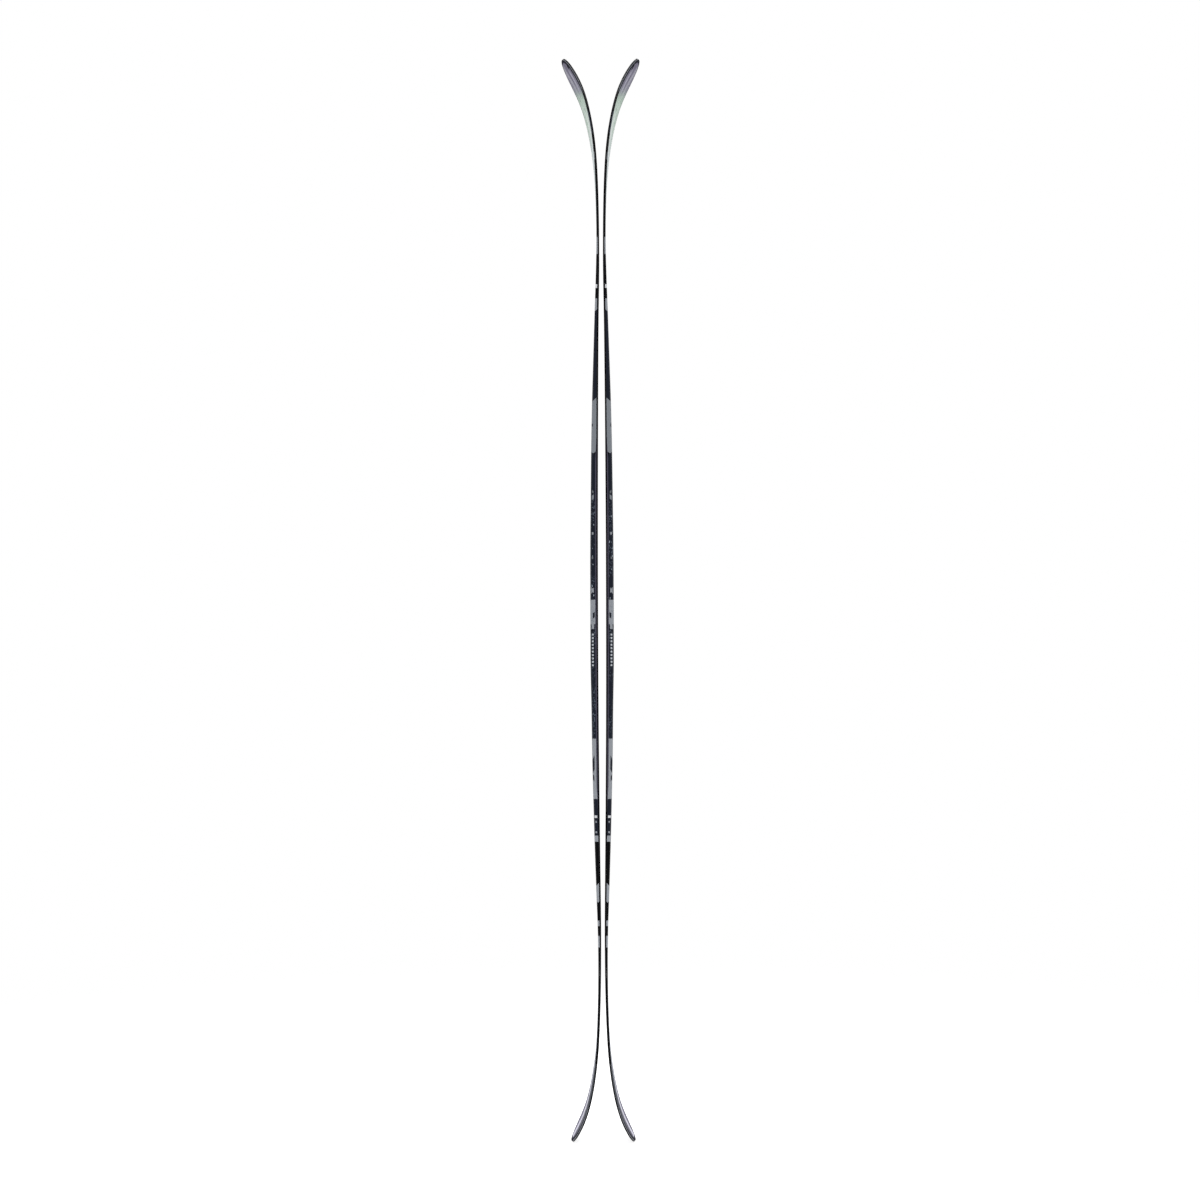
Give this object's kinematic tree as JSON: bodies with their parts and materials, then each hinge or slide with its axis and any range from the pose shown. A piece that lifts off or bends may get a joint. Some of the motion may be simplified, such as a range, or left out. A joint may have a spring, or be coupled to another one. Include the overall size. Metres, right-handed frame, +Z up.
{
  "type": "pair of backcountry cross country skis",
  "caption": "Pair of wide backcountry cross-country skis standing base to base, with low camber, long rockered tips, turned-up tails and capped laminate build; no bindings.",
  "frame": {"origin": "on the floor, at the level of the two tails' lowest points, midway between the two skis and on their long centre line", "axes": "+Z up along the skis from tails to tips; +X from the left ski to the right ski, square to the running bases; +Y across the skis' width. The running bases face each other across the plane X = 0."},
  "size_m": [0.1314, 0.128, 1.8],
  "materials": {
    "running_base": "stone-ground sintered polyethylene, black with a paler inlay",
    "edge_steel": "ground and lightly worn",
    "damping_rubber": "matt",
    "glass_laminate": "resin-rich glass weave",
    "dense_core": "planed beech, glued",
    "light_core": "planed paulownia, glued",
    "carbon_tape": "unidirectional carbon tape in resin",
    "plate_alloy": "sanded",
    "sidewall_plastic": "machined",
    "spacer_plastic": "moulded",
    "rim_plastic": "moulded, satin",
    "top_film": "printed satin film: near-black sides, lavender, pale green and white top"
  },
  "bodies": {
    "left_ski": {"left_base_sheet": "running_base", "left_steel_edge_front": "edge_steel", "left_steel_edge_back": "edge_steel", "left_edge_foil_front": "damping_rubber", "left_edge_foil_back": "damping_rubber", "left_lower_laminate": "glass_laminate", "left_core_center": "dense_core", "left_core_inner_front": "light_core", "left_core_inner_back": "light_core", "left_core_outer_front": "light_core", "left_core_outer_back": "light_core", "left_carbon_tape": "carbon_tape", "left_binding_plate": "plate_alloy", "left_sidewall_front": "sidewall_plastic", "left_sidewall_back": "sidewall_plastic", "left_tip_spacer": "spacer_plastic", "left_tail_spacer": "spacer_plastic", "left_tip_rim": "rim_plastic", "left_tail_rim": "rim_plastic", "left_upper_laminate": "glass_laminate", "left_top_sheet": "top_film"},
    "right_ski": {"right_base_sheet": "running_base", "right_steel_edge_front": "edge_steel", "right_steel_edge_back": "edge_steel", "right_edge_foil_front": "damping_rubber", "right_edge_foil_back": "damping_rubber", "right_lower_laminate": "glass_laminate", "right_core_center": "dense_core", "right_core_inner_front": "light_core", "right_core_inner_back": "light_core", "right_core_outer_front": "light_core", "right_core_outer_back": "light_core", "right_carbon_tape": "carbon_tape", "right_binding_plate": "plate_alloy", "right_sidewall_front": "sidewall_plastic", "right_sidewall_back": "sidewall_plastic", "right_tip_spacer": "spacer_plastic", "right_tail_spacer": "spacer_plastic", "right_tip_rim": "rim_plastic", "right_tail_rim": "rim_plastic", "right_upper_laminate": "glass_laminate", "right_top_sheet": "top_film"}
  },
  "joints": [
    {"name": "pair_separation", "type": "slide", "parent": "left_ski", "child": "right_ski", "axis": [1, 0, 0], "range_m": [0, 0.3]}
  ]
}
